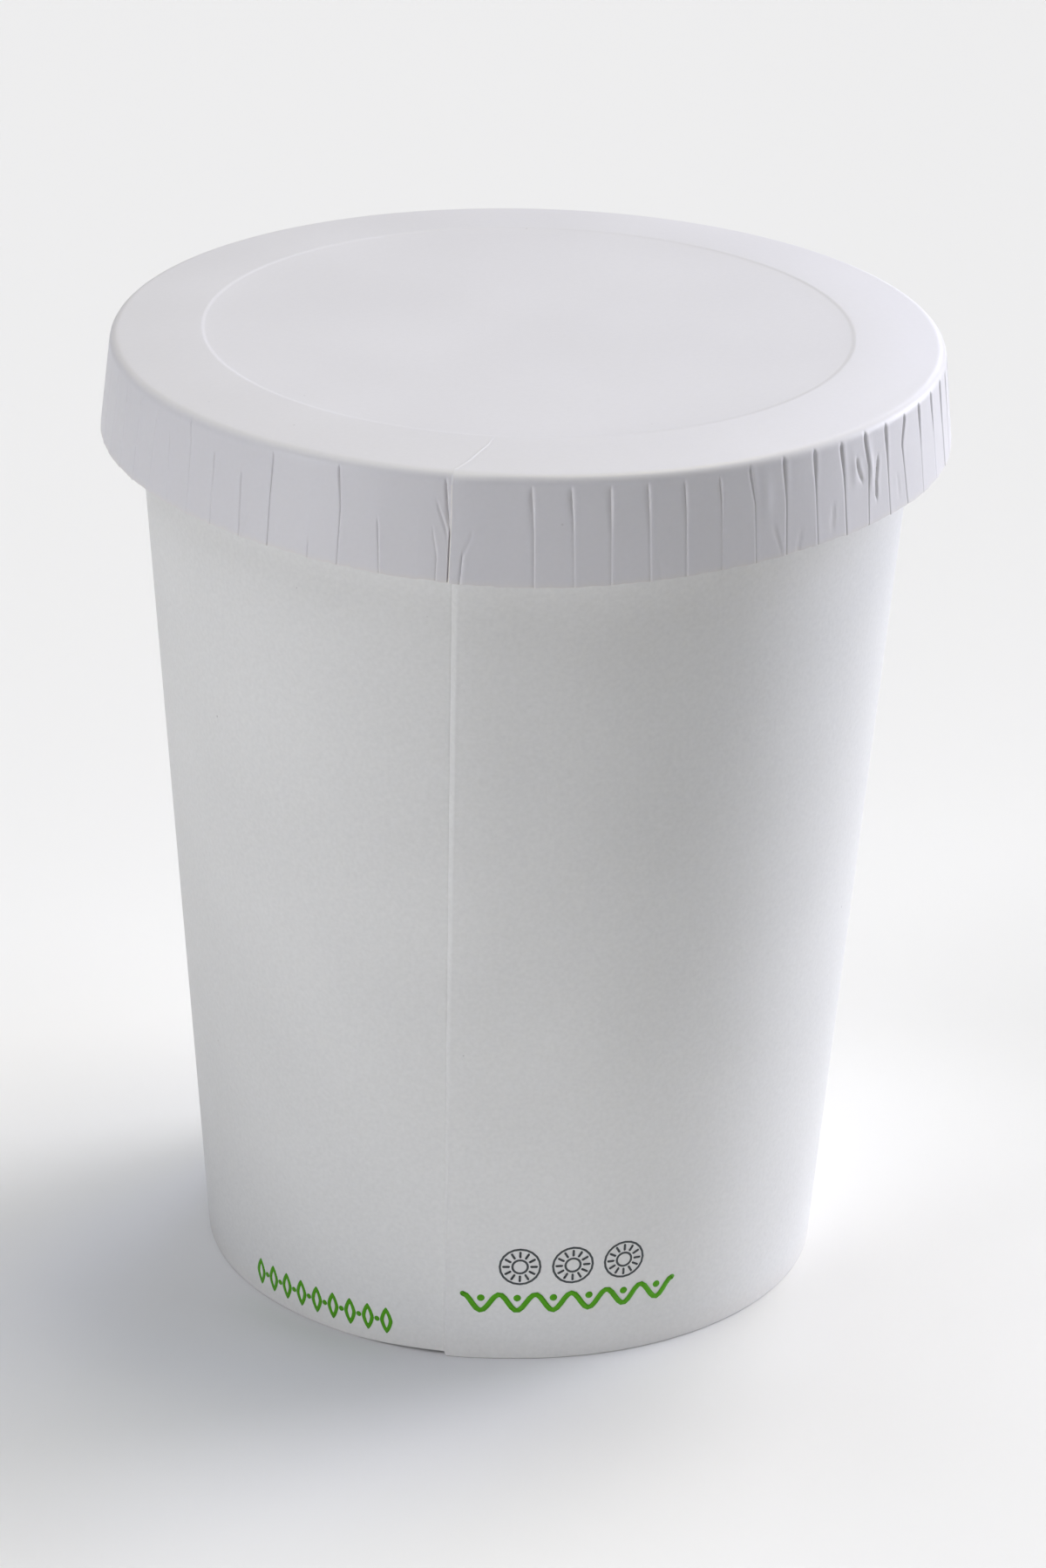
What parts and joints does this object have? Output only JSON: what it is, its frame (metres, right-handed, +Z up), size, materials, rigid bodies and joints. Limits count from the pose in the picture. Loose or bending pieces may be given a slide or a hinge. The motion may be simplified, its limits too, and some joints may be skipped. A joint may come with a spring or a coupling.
{
  "type": "paper food container",
  "caption": "Tapered round paper food container with an overlapped side seam, shut by a flat board lid with a pleated, flared skirt.",
  "frame": {"origin": "centre of the circle that the foot stands on", "axes": "+Z up along the cup's axis, -Y towards the side with both overlapped seams"},
  "size_m": [0.1208, 0.1211, 0.1409],
  "materials": {
    "cup_board": "matte",
    "lid_board": "satin"
  },
  "bodies": {
    "root": {"cup": "cup_board", "lid": "lid_board"}
  },
  "joints": []
}
